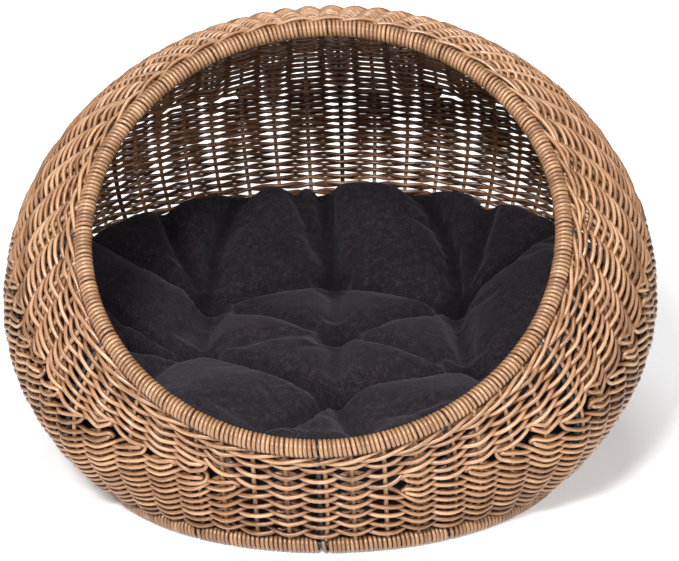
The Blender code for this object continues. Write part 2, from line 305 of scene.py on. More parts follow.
def rattan(name, dark, mid, light, rough=0.33, contrast=1.0):
    """Rattan strand: fine lengthwise grain, slow colour drift along the strand and a tone of its own per strand,
    darkened by painted shade in crevices and on sides touching a neighbour.
    """
    m, nt, bsdf = new_material(name)
    L = nt.links.new
    at = node(nt, "ShaderNodeAttribute", attribute_name="strand")
    idn = node(nt, "ShaderNodeAttribute", attribute_name="sid")
    sep = node(nt, "ShaderNodeSeparateXYZ")
    L(at.outputs["Vector"], sep.inputs[0])
    shift = math_node(nt, "MULTIPLY", idn.outputs["Fac"], 71.3)

    def coords(along, across):
        c = node(nt, "ShaderNodeCombineXYZ")
        x = math_node(nt, "ADD", math_node(nt, "MULTIPLY", sep.outputs[0], along), shift)
        L(x, c.inputs[0])
        L(math_node(nt, "MULTIPLY", sep.outputs[1], across), c.inputs[1])
        L(math_node(nt, "MULTIPLY", sep.outputs[2], across), c.inputs[2])
        return c.outputs[0]

    grain = node(nt, "ShaderNodeTexNoise", Scale=1.0, Detail=3.0, Roughness=0.6)
    L(coords(55.0, 1900.0), grain.inputs["Vector"])
    drift = node(nt, "ShaderNodeTexNoise", Scale=1.0, Detail=2.0, Roughness=0.5)
    L(coords(9.0, 120.0), drift.inputs["Vector"])
    blot = node(nt, "ShaderNodeTexNoise", Scale=1.0, Detail=2.0, Roughness=0.5)
    L(coords(130.0, 420.0), blot.inputs["Vector"])
    tone = math_node(nt, "MULTIPLY", math_node(nt, "SUBTRACT", drift.outputs["Fac"], 0.5), 0.9 * contrast)
    tone = math_node(nt, "ADD", tone, math_node(nt, "MULTIPLY", math_node(nt, "SUBTRACT", grain.outputs["Fac"], 0.5), 0.75 * contrast))
    tone = math_node(nt, "ADD", tone, math_node(nt, "MULTIPLY", math_node(nt, "SUBTRACT", blot.outputs["Fac"], 0.5), 0.35 * contrast))
    tone = math_node(nt, "ADD", tone, math_node(nt, "MULTIPLY", math_node(nt, "SUBTRACT", idn.outputs["Fac"], 0.5), 0.32 * contrast))
    tone = math_node(nt, "ADD", tone, 0.5, clamp=True)
    r = ramp(nt, [(0.08, dark), (0.5, mid), (0.92, light)])
    L(tone, r.inputs[0])
    # painted shade: darker in the crevices where strands and stakes meet, and on strand sides that touch a neighbour
    wn = node(nt, "ShaderNodeAttribute", attribute_name="painted_shade")
    painted_shade_ramp = ramp(nt, [(0.0, (0.10, 0.055, 0.035)), (0.5, (0.66, 0.52, 0.42)), (1.0, (1.0, 1.0, 1.0))])
    L(wn.outputs["Fac"], painted_shade_ramp.inputs[0])
    both = node(nt, "ShaderNodeMix", data_type="RGBA", blend_type="MULTIPLY")
    both.inputs["Factor"].default_value = 1.0
    L(r.outputs[0], both.inputs[6])
    L(painted_shade_ramp.outputs[0], both.inputs[7])
    L(both.outputs[2], bsdf.inputs["Base Color"])
    rr = math_node(nt, "MULTIPLY", grain.outputs["Fac"], 0.22)
    L(math_node(nt, "ADD", rr, rough - 0.11), bsdf.inputs["Roughness"])
    bump = node(nt, "ShaderNodeBump", Strength=0.35, Distance=0.0003)
    L(grain.outputs["Fac"], bump.inputs["Height"])
    L(bump.outputs[0], bsdf.inputs["Normal"])
    bsdf.inputs["Specular IOR Level"].default_value = 0.75
    return m


RATTAN_STRAND = rattan("rattan_strand", (0.105, 0.042, 0.016), (0.360, 0.190, 0.092), (0.620, 0.400, 0.235), contrast=1.25)
RATTAN_STAKE = rattan("rattan_stake", (0.130, 0.058, 0.025), (0.390, 0.215, 0.108), (0.640, 0.420, 0.250), contrast=1.2)
RATTAN_WRAP = rattan("rattan_wrap", (0.130, 0.058, 0.026), (0.360, 0.200, 0.101), (0.610, 0.400, 0.235), rough=0.34, contrast=1.1)


def painted_steel():
    m, nt, bsdf = new_material("painted_steel")
    tc = node(nt, "ShaderNodeTexCoord")
    n = node(nt, "ShaderNodeTexNoise", Scale=380.0, Detail=4.0, Roughness=0.6)
    nt.links.new(tc.outputs["Object"], n.inputs["Vector"])
    r = ramp(nt, [(0.3, (0.018, 0.018, 0.020)), (0.7, (0.055, 0.053, 0.056))])
    nt.links.new(n.outputs["Fac"], r.inputs[0])
    nt.links.new(r.outputs[0], bsdf.inputs["Base Color"])
    nt.links.new(
        math_node(nt, "ADD", math_node(nt, "MULTIPLY", n.outputs["Fac"], 0.3), 0.3),
        bsdf.inputs["Roughness"],
    )
    bump = node(nt, "ShaderNodeBump", Strength=0.2, Distance=0.0002)
    nt.links.new(n.outputs["Fac"], bump.inputs["Height"])
    nt.links.new(bump.outputs[0], bsdf.inputs["Normal"])
    bsdf.inputs["Metallic"].default_value = 0.35
    return m


STEEL = painted_steel()


def place(ob, nodes, body="basket"):
    if nodes:
        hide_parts(*nodes)
    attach(ob, body)
    return ob


# ------------------------------------------------------------------ uprights
STEP = 2 * math.pi / N_STAKES
K_MORE = (18, 30)  # in the wide back an extra stake stands in the middle of each interval from 18 to 30


def upright(theta, shift=0.0, start=0.0042, end=0.0042, n=40, offset=0.0):
    """A line up the wall at angle theta, moved sideways by shift metres along the rows."""
    length = float(length_at(theta))
    s = np.linspace(start, length - end, n)
    th = np.full(n, theta)
    p, nrm, up = skin(th, s)
    along = unit(np.cross(up, nrm))
    fade = np.clip(np.minimum(s - start, length - end - s) / 0.03, 0, 1)
    fade = fade * fade * (3 - 2 * fade)
    close = 0.55 + 0.45 * fade
    q = p + along * (shift * close)[:, None] + nrm * offset
    return q, nrm


ribs = stakes = 0
for k in range(N_STAKES):
    theta = k * STEP
    if k % 4 == 0:
        ribs += 1
        line, ref = upright(theta)
        place(
            join_tubes(f"steel_rib_{ribs:02d}", [tube(line, ref, RIB_R, 10)], STEEL),
            [f"rib_{ribs:02d}"],
        )
        if min(k, N_STAKES - k) <= 8:
            line, ref = upright(theta, shift=0.0050)
            place(
                join_tubes(f"rib_stake_{ribs:02d}", [tube(line, ref, STAKE_R, 8)], RATTAN_STAKE),
                [],
            )
    else:
        stakes += 1
        line, ref = upright(theta)
        place(
            join_tubes(f"rattan_stake_{stakes:02d}", [tube(line, ref, STAKE_R, 8)], RATTAN_STAKE),
            [f"stake_{stakes:02d}"],
        )

extra = []
for k in range(*K_MORE):
    line, ref = upright((k + 0.5) * STEP, start=0.0060, end=0.0060)
    extra.append(tube(line, ref, STAKE_R, 8))
place(join_tubes("back_stakes", extra, RATTAN_STAKE), ["woven_shell"])

# ------------------------------------------------------------------ layout of the woven rows
EDGE_LOW = 0.0095  # the wall's rows start this far from the foot ring's centre line
EDGE_TOP = 0.0135  # and stop this far from the mouth ring's, where the border begins
TABLE_A = np.arange(0, 181, 15)
TABLE_B = np.array([5, 5.6, 8.0, 12, 16, 20, 24, 28, 31.5, 35, 38, 40, 41.0])
TABLE_T = np.array([3, 3.5, 4.6, 5.6, 7.0, 9.0, 11.5, 15, 20, 25.4, 30, 33, 34.0])
FULL_B, FULL_T = 5, 3


def wanted(table, k):
    a = abs(((k * 360.0 / N_STAKES) + 180) % 360 - 180)
    return float(np.interp(a, TABLE_A, table))


def courses(table, full, most, skew):
    """Full rows, then out-and-back pairs of short rows: (first row, right end, left end)."""
    pairs = []
    i = full
    while i + 1 < most:
        right = next((k for k in range(1, 24) if wanted(table, k) >= i + 1.0 + skew), None)
        left = next((k for k in range(1, 24) if wanted(table, k) >= i + 1.0 - skew), None)
        if right is None or left is None:
            break
        if pairs:  # no two pairs of one family end at the same stake
            right = max(right, pairs[-1][1] + 1)
            left = max(left, N_STAKES - pairs[-1][2] + 1)
        if right > 23 or left > 23:
            break
        pairs.append((i, right, N_STAKES - left))
        i += 2
    return pairs


PAIRS_B = courses(TABLE_B, FULL_B, 39, 0.25)
PAIRS_T = courses(TABLE_T, FULL_T, 34, -0.30)
NB = FULL_B + 2 * len(PAIRS_B)
NT = FULL_T + 2 * len(PAIRS_T)
ROWS = NB + NT  # row r: 0..NB-1 from the foot, then NT-1..0 towards the mouth
mask = np.zeros((ROWS, N_STAKES), bool)
mask[:FULL_B] = True
mask[ROWS - FULL_T :] = True
for i, a, b in PAIRS_B:
    mask[i : i + 2, a : b + 1] = True
for i, a, b in PAIRS_T:
    for j in (i, i + 1):
        mask[ROWS - 1 - j, a : b + 1] = True

S_K = length_at(np.arange(N_STAKES) * STEP)
pos = np.full((ROWS, N_STAKES), np.nan)
for k in range(N_STAKES):
    live = np.flatnonzero(mask[:, k])
    p = (S_K[k] - EDGE_LOW - EDGE_TOP) / len(live)
    pos[live, k] = EDGE_LOW + (np.arange(len(live)) + 0.5) * p
for _ in range(70):
    new = pos.copy()
    left, right = np.roll(pos, 1, 1), np.roll(pos, -1, 1)
    ratio_l = S_K / np.roll(S_K, 1)
    ratio_r = S_K / np.roll(S_K, -1)
    half = ROWS - NT
    # a row keeps its distance from the ring that it follows
    low = np.arange(ROWS)[:, None] < NB
    from_left = np.where(low, left, S_K - (np.roll(S_K, 1) - left))
    from_right = np.where(low, right, S_K - (np.roll(S_K, -1) - right))
    both = np.isfinite(left) & np.isfinite(right) & mask
    flow = 0.5 * (from_left + from_right)
    new[both] += 0.20 * (flow - pos)[both]
    one = (np.isfinite(left) ^ np.isfinite(right)) & mask
    edge = np.where(np.isfinite(left), from_left, from_right)
    new[one] += 0.10 * (edge - pos)[one]
    for k in range(N_STAKES):
        live = np.flatnonzero(mask[:, k])
        v = new[live, k]
        p = (S_K[k] - EDGE_LOW - EDGE_TOP) / len(live)
        for _again in range(6):
            ext = np.concatenate([[EDGE_LOW - p / 2], v, [S_K[k] - EDGE_TOP + p / 2]])
            v = v + 0.50 * (0.5 * (ext[:-2] + ext[2:]) - v)
        new[live, k] = v
    pos = new


def row_line(r, ks):
    """s of row r at stake coordinates ks, by Catmull-Rom between the stakes."""
    base = np.floor(ks).astype(int)
    f = ks - base

    def at(index):
        v = pos[r, np.mod(index, N_STAKES)]
        return v

    p1, p2 = at(base), at(base + 1)
    p0, p3 = at(base - 1), at(base + 2)
    low = r < NB

    p1 = np.where(np.isfinite(p1), p1, p2)
    p2 = np.where(np.isfinite(p2), p2, p1)
    p0 = np.where(np.isfinite(p0), p0, p1)
    p3 = np.where(np.isfinite(p3), p3, p2)
    if not low:
        # rows that follow the mouth are blended as distances from the mouth
        def d(v, index):
            return length_at(np.mod(index, N_STAKES) * STEP) - v

        q0, q1, q2, q3 = d(p0, base - 1), d(p1, base), d(p2, base + 1), d(p3, base + 2)
        ok1 = np.isfinite(at(base))
        ok2 = np.isfinite(at(base + 1))
        q1 = np.where(ok1, q1, q2)
        q2 = np.where(ok2, q2, q1)
        q0 = np.where(np.isfinite(at(base - 1)), q0, q1)
        q3 = np.where(np.isfinite(at(base + 2)), q3, q2)
        v = 0.5 * (
            2 * q1
            + (q2 - q0) * f
            + (2 * q0 - 5 * q1 + 4 * q2 - q3) * f**2
            + (3 * q1 - q0 - 3 * q2 + q3) * f**3
        )
        return length_at(np.mod(ks, N_STAKES) * STEP) - v
    return 0.5 * (
        2 * p1
        + (p2 - p0) * f
        + (2 * p0 - 5 * p1 + 4 * p2 - p3) * f**2
        + (3 * p1 - p0 - 3 * p2 + p3) * f**3
    )


PER, PER_MORE = 7, 11  # points per stake interval, and where an extra stake stands in it
R_N = 0.00345


def wobble(ks, seed, size):
    """A smooth little wander along a row, the same each run."""
    rng = np.random.default_rng(seed)
    knots = rng.normal(0, size, N_STAKES)
    x = np.mod(ks, N_STAKES)
    i = x.astype(int)
    f = x - i
    f = f * f * (3 - 2 * f)
    return knots[i % N_STAKES] * (1 - f) + knots[(i + 1) % N_STAKES] * f


R_S = 0.00170
DROP = 0.00115  # at a stake the strand outside it rides lower than the one inside it


def stations(k0, k1):
    """Stake coordinates of a row's points from k0 to k1."""
    out = []
    for k in range(math.floor(k0), math.ceil(k1)):
        per = PER_MORE if K_MORE[0] <= k < K_MORE[1] else PER
        out.append(k + np.arange(per) / per)
    out = np.concatenate(out)
    return np.concatenate([[k0], out[(out > k0 + 0.02) & (out < k1 - 0.02)], [k1]])


def passed(ks):
    """How many stakes a strand has passed at stake coordinate ks."""
    x = np.mod(ks, N_STAKES)
    return x + np.clip(x - K_MORE[0], 0, K_MORE[1] - K_MORE[0])


def pair_ns(ks, sigma, r, r_s=R_S, r_n=R_N):
    """Offsets (n, s) of one strand of a pair. The two swap sides of the wall between stakes, and strand 1
    crosses above strand 0; strand 1 is outside at the odd stakes, strand 0 at the even ones."""
    phi = math.pi * (passed(ks) + sigma)
    c, si = np.cos(phi), np.sin(phi)
    n = r_n * np.sign(c) * np.abs(c) ** 0.85
    # the wide back is twisted tight; in front the two strands stay a little apart all along
    front = smoothstep(np.cos(ks * STEP), -0.2, 0.5)
    wave = np.abs(si) ** 1.5
    s = (1 if sigma else -1) * (r_s * wave + 0.0010 * front * (1 - wave))
    s = s - (DROP - 0.0006 * front) * np.sign(c) * np.abs(c) ** 1.3
    return n, s


def place_path(ks, s, n):
    th = np.mod(ks * STEP, 2 * math.pi)
    p, nrm, up = skin(th, s)
    return p + nrm * n[:, None], nrm


def full_row(r, r_s=R_S, r_n=R_N, radius=STRAND_R, lift=0.0):
    made = []
    ks = stations(0, N_STAKES)[:-1]
    centre = row_line(r, ks) + wobble(ks, 900 + r, 0.00026)
    for sigma in (0, 1):
        n, ds = pair_ns(ks, sigma, r, r_s, r_n)
        n = n + wobble(ks, 5000 + 2 * r + sigma, 0.00020)
        ds = ds + wobble(ks, 7000 + 2 * r + sigma, 0.00020) + lift
        p, ref = place_path(ks, centre + ds, n)
        # depth and flank add painted shade in the crevices and on the strand sides
        made.append(
            tube(p, ref, radius * (1 + 0.03 * RNG.standard_normal()), 8, closed=True, depth=n, flank_shade=0.55)
        )
    return made


def turn(k_end, direction, r_from, r_to, sigma, delta, centre_of):
    """The hairpin beyond the last stake, from row r_from to row r_to, as (ks, s, n) samples."""
    k0 = k_end + direction * delta
    one = np.array([k0])
    n0, d0 = pair_ns(one, sigma, r_from)
    n1, d1 = pair_ns(one, 1 - sigma, r_to)
    s0 = centre_of(r_from, one)[0] + d0[0]
    s1 = centre_of(r_to, one)[0] + d1[0]
    p, _, _ = skin(np.array([k_end * STEP, (k_end + 1) * STEP]), np.array([s0, s0]))
    width = float(np.linalg.norm(p[1] - p[0]))
    rho = abs(s1 - s0) / 2
    beta = np.linspace(-math.pi / 2, math.pi / 2, 9)[1:-1]
    f = 0.5 * (1 + np.sin(beta))
    ks = k0 + direction * np.cos(beta) * rho * 1.15 / width
    s = s0 + (s1 - s0) * f
    n = n0[0] + (n1[0] - n0[0]) * f
    return ks, s, n


def short_pair(r_a, r_b, k_right, k_left):
    """Two neighbouring short rows joined by hairpins at both ends: two closed strands."""
    made = []
    # beyond its last stake a pair turns back, round the extra stake where there is one
    reach_r = 0.53 if K_MORE[0] <= k_right - 1 < K_MORE[1] else 0.30
    reach_l = 0.53 if K_MORE[0] <= k_left < K_MORE[1] else 0.30

    def centre_of(r, ks):
        at = np.clip(ks, k_right, k_left)
        past = np.abs(ks - at)
        line, other = row_line(r, at), row_line(r_b if r == r_a else r_a, at)
        return line + (other - line) * past / 3 + wobble(ks, 900 + r, 0.00026)

    inner = stations(k_right - reach_r, k_left + reach_l)
    for sigma in (0, 1):
        ks_all, s_all, n_all = [], [], []
        for r, sg, direction in ((r_a, sigma, 1), (r_b, 1 - sigma, -1)):
            ks = inner.copy()
            n, ds = pair_ns(ks, sg, r)
            n = n + wobble(ks, 5000 + 2 * r + sg, 0.00014)
            ds = ds + wobble(ks, 7000 + 2 * r + sg, 0.00018)
            s = centre_of(r, ks) + ds
            if direction < 0:
                ks, s, n = ks[::-1], s[::-1], n[::-1]
            ks_all.append(ks)
            s_all.append(s)
            n_all.append(n)
            end, towards = (k_left, 1) if direction > 0 else (k_right, -1)
            other = r_b if r == r_a else r_a
            reach = reach_l if towards > 0 else reach_r
            tk, ts, tn = turn(end, towards, r, other, sg, reach, centre_of)
            ks_all.append(tk)
            s_all.append(ts)
            n_all.append(tn)
        ks = np.concatenate(ks_all)
        n = np.concatenate(n_all)
        p, ref = place_path(ks, np.concatenate(s_all), n)
        # depth and flank add painted shade in the crevices and on the strand sides
        made.append(
            tube(p, ref, STRAND_R * (1 + 0.03 * RNG.standard_normal()), 8, closed=True, depth=n, flank_shade=0.55)
        )
    return made


low_rows, top_rows = [], []
for r in range(FULL_B):
    low_rows.append(full_row(r))
for i, a, b in PAIRS_B:
    low_rows.append(short_pair(i, i + 1, a, b))
for j in range(FULL_T):
    top_rows.append(full_row(ROWS - 1 - j))
for i, a, b in PAIRS_T:
    top_rows.append(short_pair(ROWS - 1 - i, ROWS - 2 - i, a, b))


# the border beside the rim: three strands that climb over two stakes and go behind one
def border():
    made = []
    ks = np.arange(N_STAKES * PER) / PER
    th = ks * STEP
    centre = length_at(th) - 0.0112
    for j in range(3):
        phi = 2 * math.pi * (ks + j) / 3
        n = 0.0011 + 0.0033 * np.cos(phi) + wobble(ks, 300 + j, 0.0001)
        s = 0.0026 * np.sin(phi) + wobble(ks, 320 + j, 0.0002)
        p, ref = place_path(ks, centre + s, n)
        # depth and flank add painted shade in the crevices and on the strand sides
        made.append(tube(p, ref, STRAND_R, 8, closed=True, depth=n, flank_shade=0.55))
    return made


def flat(lists):
    return [x for one in lists for x in one]


def split(rows, count):
    """The rows in order, cut into count groups of about equal size."""
    sizes = np.cumsum([sum(len(t[0]) for t in row) for row in rows])
    cuts = [sizes[-1] * (i + 1) / count for i in range(count)]
    groups, start = [], 0
    for cut in cuts:
        stop = int(np.searchsorted(sizes, cut - 1)) + 1
        groups.append(flat(rows[start:stop]))
        start = stop
    return [g for g in groups if g]


for number, group in enumerate(split(low_rows, 2), 1):
    place(join_tubes(f"lower_rows_{number}", group, RATTAN_STRAND), ["woven_shell"])
for number, group in enumerate(split(top_rows, 2), 1):
    place(join_tubes(f"upper_rows_{number}", group, RATTAN_STRAND), [])
place(join_tubes("mouth_border", border(), RATTAN_STRAND), [])


# ------------------------------------------------------------------ coil-wrapped rings
def ring_axes(point_of, th):
    e = 1e-4
    centre = point_of(th)
    tan = unit(point_of(th + e) - point_of(th - e))
    to_wall, _, _ = skin(th, np.where(point_of is base_point, 0.006, length_at(th) - 0.006))
    a = to_wall - centre
    a -= tan * (a * tan).sum(-1, keepdims=True)
    a = unit(a)
    return centre, tan, a, np.cross(tan, a)


def coil(point_of, turns_per, gap_stake, gap_rib, gap_front, per_turn=12, radius=0.00161, seed=1, offset=0.0):
    """A strand wound round a ring rod; the turns open up where ribs and stakes come in."""
    total = turns_per * N_STAKES
    w = np.linspace(0, total, total * 40 + 1)
    k = w / turns_per
    near = np.abs(k - np.round(k)) * turns_per  # turns from the nearest stake
    rib = (np.round(k).astype(int) % 4) == 0
    first = np.round(k).astype(int) % N_STAKES == 0
    speed = 1 + np.where(first, gap_front, np.where(rib, gap_rib, gap_stake)) * np.exp(-((near / 0.55) ** 2))
    run = np.concatenate([[0], np.cumsum(0.5 * (speed[1:] + speed[:-1]))])
    # each stake interval keeps its own length
    marks = run[:: turns_per * 40]
    place_k = np.interp(run, marks, np.arange(N_STAKES + 1))
    samples = np.arange(total * per_turn) / per_turn
    kk = np.interp(samples, w, place_k)
    th = kk * STEP + offset
    centre, tan, a, b = ring_axes(point_of, th)
    ang = 2 * math.pi * samples
    rng = np.random.default_rng(seed)
    jitter = np.interp(samples, np.arange(total + 1), rng.normal(0, 0.00007, total + 1))
    R = ROD_R + radius + 0.0001 + jitter
    out = np.cos(ang)[:, None] * a + np.sin(ang)[:, None] * b
    lean = np.interp(samples, np.arange(total + 1), rng.normal(0, 0.00015, total + 1))
    p = centre + out * R[:, None] + tan * (lean * np.sin(ang))[:, None]
    # painted shade on the sides of each turn where it touches the next, and on the side facing the rod
    return tube(p, out, radius, 8, closed=True, flank_shade=0.95), p


rim, _ = coil(mouth_point, 7, 0.22, 0.34, 0.6, seed=11)
place(join_tubes("rim_coil", [rim], RATTAN_WRAP), ["rim_wrap"])
foot, foot_line = coil(base_point, 7, 0.06, 0.9, 1.6, seed=12)
place(join_tubes("foot_coil", [foot], RATTAN_WRAP), ["base_wrap"])

for name, point_of in (("opening_ring", mouth_point), ("base_ring", base_point)):
    th = np.arange(144) * 2 * math.pi / 144
    ref = np.broadcast_to(np.array((0.02, 0.03, 1.0)), (144, 3))
    ob = join_tubes(f"steel_{name}", [tube(point_of(th), ref, ROD_R - 0.00002, 12, closed=True)], STEEL)
    place(ob, [name])

# ------------------------------------------------------------------ floor
bars = [(-0.118, 1), (-0.040, 2), (0.040, 3), (0.118, 4)]
in_rx, in_ry = BASE_RX - 0.0074, BASE_RY - 0.0074
for x, number in bars:
    half = in_ry * math.sqrt(1 - (x / in_rx) ** 2) + 0.0008
    line = np.stack([np.full(12, x), np.linspace(BASE_CY - half, BASE_CY + half, 12), np.full(12, BASE_Z)], -1)
    ob = join_tubes(f"steel_floor_bar_{number}", [tube(line, np.broadcast_to((0, 0, 1.0), (12, 3)), 0.002, 10)], STEEL)
    place(ob, [f"floor_bar_{number}"])

posts = sorted([x for x, _ in bars] + [x for x in np.arange(-0.168, 0.169, 0.02) if min(abs(x - b) for b, _ in bars) > 0.008])
floor_tubes = []
for x in posts:
    if any(abs(x - b) < 1e-6 for b, _ in bars) or abs(x) > in_rx - 0.004:
        continue
    half = in_ry * math.sqrt(max(0.0, 1 - (x / in_rx) ** 2)) - 0.0006
    line = np.stack([np.full(10, x), np.linspace(BASE_CY - half, BASE_CY + half, 10), np.full(10, BASE_Z + 0.0002)], -1)
    floor_tubes.append(tube(line, np.broadcast_to((0, 0, 1.0), (10, 3)), 0.0016, 6))
pitch = 0.00375
count = int(2 * in_ry / pitch)
for i in range(count):
    y = BASE_CY - in_ry + (i + 0.5) * pitch
    half = in_rx * math.sqrt(max(0.0, 1 - ((y - BASE_CY) / in_ry) ** 2)) - 0.002
    if half < 0.01:
        continue
    xs = np.linspace(-half, half, max(12, int(half / 0.0022)))
    place_of = np.interp(xs, posts, np.arange(len(posts)))
    z = BASE_Z + 0.0002 + 0.0033 * np.cos(math.pi * (place_of + i))
    line = np.stack([xs, np.full_like(xs, y), z], -1)
    floor_tubes.append(tube(line, np.broadcast_to((0, 1.0, 0.01), (len(xs), 3)), 0.0016, 6))
place(join_tubes("floor_weave", floor_tubes, RATTAN_STRAND), ["woven_floor"])

# ------------------------------------------------------------------ cushion
CUSHION_CY = 0.0200 + FY
CUSHION_Z0 = 0.0140
LIFT = 0.032


def clearance():
    """Largest horizontal radius about the cushion's axis, by direction and height, that stays clear of the
    woven wall and both coils while the cushion is lifted."""
    th = np.linspace(0, 2 * math.pi, 541)[:-1]
    tt = np.linspace(0.003, 0.997, 141)
    g_th, g_t = np.meshgrid(th, tt, indexing="ij")
    p = wall(g_th, g_t)
    e = 1e-4
    n = unit(np.cross(wall(g_th + e, g_t) - wall(g_th - e, g_t), wall(g_th, g_t + e) - wall(g_th, g_t - e)))
    n *= np.where((n * (p - BODY_C)).sum(-1) < 0, -1.0, 1.0)[..., None]
    found = [(p - n * 0.0062).reshape(-1, 3)]
    for point_of in (base_point, mouth_point):
        c = point_of(th)
        tan = unit(point_of(th + e) - point_of(th - e))
        f1 = unit(np.cross(tan, (1.0, 0.3, 0.2)))
        f2 = np.cross(tan, f1)
        for g in np.linspace(0, 2 * math.pi, 17)[:-1]:
            found.append(c + 0.0080 * (math.cos(g) * f1 + math.sin(g) * f2))
    pts = np.concatenate(found)
    phi_of = np.arctan2(pts[:, 1] - CUSHION_CY, pts[:, 0])
    r_of = np.hypot(pts[:, 0], pts[:, 1] - CUSHION_CY)
    phis = np.arange(72) * 2 * math.pi / 72
    zs = np.linspace(0.010, 0.190, 37)
    table = np.full((72, 37), 0.26)
    for i, phi in enumerate(phis):
        near = np.abs((phi_of - phi + math.pi) % (2 * math.pi) - math.pi) < math.radians(3.2)
        zz, rr = pts[near, 2], r_of[near]
        for j, z in enumerate(zs):
            level = (zz > z - 0.003) & (zz < z + LIFT + 0.002)
            if level.any():
                table[i, j] = rr[level].min()
    return zs, table


CLEAR_Z, CLEAR = clearance()


def clear_at(phi, z):
    x = np.mod(phi, 2 * math.pi) / (2 * math.pi) * 72
    i = np.floor(x).astype(int) % 72
    a = x - np.floor(x)
    y = np.clip((z - CLEAR_Z[0]) / (CLEAR_Z[1] - CLEAR_Z[0]), 0, len(CLEAR_Z) - 1.001)
    j = y.astype(int)
    b = y - j
    k = (i + 1) % 72
    return (1 - a) * ((1 - b) * CLEAR[i, j] + b * CLEAR[i, j + 1]) + a * (
        (1 - b) * CLEAR[k, j] + b * CLEAR[k, j + 1]
    )


def smooth01(x):
    x = np.clip(x, 0, 1)
    return x * x * (3 - 2 * x)


def top_of(phi):
    """Height of the cushion's outer edge by direction."""
    w = smooth01(0.5 * (1 + np.sin(phi)) / 0.55)
    return 0.1065 + (0.1580 - 0.1065) * w


def profile(phi, q):
    """The cushion's skin in direction phi: q 0 under the middle, 1 in the middle of the top."""
    z0 = CUSHION_Z0 + 0.003
    top = float(top_of(phi)) - 0.004
    floor_r = float(clear_at(np.array(phi), np.array(z0))) - 0.012
    knots = [(0.0, z0), (0.6 * floor_r, z0), (floor_r, z0)]
    for share in (0.12, 0.32, 0.55, 0.78):
        z = z0 + (top - z0) * share
        knots.append((float(clear_at(np.array(phi), np.array(z))) - 0.004, z))
    edge = float(clear_at(np.array(phi), np.array(top)))
    front = 1 - float(smooth01(0.5 * (1 + math.sin(phi)) / 0.5))
    knots += [
        (edge - 0.010, top - 0.002),
        (edge - 0.024, top + 0.001),
        (edge - 0.048, top - 0.016 + 0.006 * front),
        (0.5 * (edge - 0.048) + 0.5 * 0.118, 0.45 * (top - 0.016) + 0.55 * 0.098),
        (0.118, 0.096),
        (0.090, 0.097),
        (0.050, 0.101),
        (0.0, 0.100),
    ]
    knots = np.array(knots)
    d = np.concatenate([[0], np.cumsum(np.linalg.norm(np.diff(knots, axis=0), axis=1))])
    d /= d[-1]
    return np.interp(q, d, knots[:, 0]), np.interp(q, d, knots[:, 1])


def skin_mesh():
    n_phi, n_q = 120, 90
    pts = []
    qs = np.linspace(0, 1, n_q)
    for phi in np.arange(n_phi) * 2 * math.pi / n_phi:
        r, z = profile(phi, qs)
        pts.append(np.stack([r * math.cos(phi), CUSHION_CY + r * math.sin(phi), z], -1))
    pts = np.array(pts)
    verts = [tuple(pts[:, 0].mean(0))]
    for k in range(1, n_q - 1):
        verts += [tuple(pts[i, k]) for i in range(n_phi)]
    verts.append(tuple(pts[:, -1].mean(0)))
    faces = []
    for i in range(n_phi):
        j = (i + 1) % n_phi
        faces.append((0, 1 + j, 1 + i))
        for k in range(n_q - 3):
            a = 1 + k * n_phi
            faces.append((a + i, a + j, a + n_phi + j, a + n_phi + i))
        a = 1 + (n_q - 3) * n_phi
        faces.append((a + i, a + j, len(verts) - 1))
    me = bpy.data.meshes.new("fleece_cushion")
    me.from_pydata(verts, [], faces)
    bm = bmesh.new()
    bm.from_mesh(me)
    bmesh.ops.recalc_face_normals(bm, faces=bm.faces)
    bm.to_mesh(me)
    bm.free()
    return me


def dish_point(x, y):
    """The undented top of the cushion above (x, y), for tufts and creases."""
    phi = math.atan2(y - CUSHION_CY, x)
    r = math.hypot(x, y - CUSHION_CY)
    q = np.linspace(0.5, 1, 200)
    rr, zz = profile(phi, q)
    top = np.argmax(zz)
    k = top + int(np.argmin(np.abs(rr[top:] - r)))
    return np.array((x, y, zz[k]))


def ray_down(phi, r0, r1, n=16):
    return [
        dish_point(r * math.cos(phi), CUSHION_CY + r * math.sin(phi)) for r in np.linspace(r0, r1, n)
    ]


TUFTS = {  # plan position relative to the cushion's centre
    "middle": (0.006, 0.000),
    "back": (-0.006, 0.128),
    "back_left": (-0.103, 0.078),
    "front_left": (-0.104, -0.028),
    "front": (0.006, -0.106),
    "front_right": (0.108, -0.060),
    "back_right": (0.098, 0.076),
}


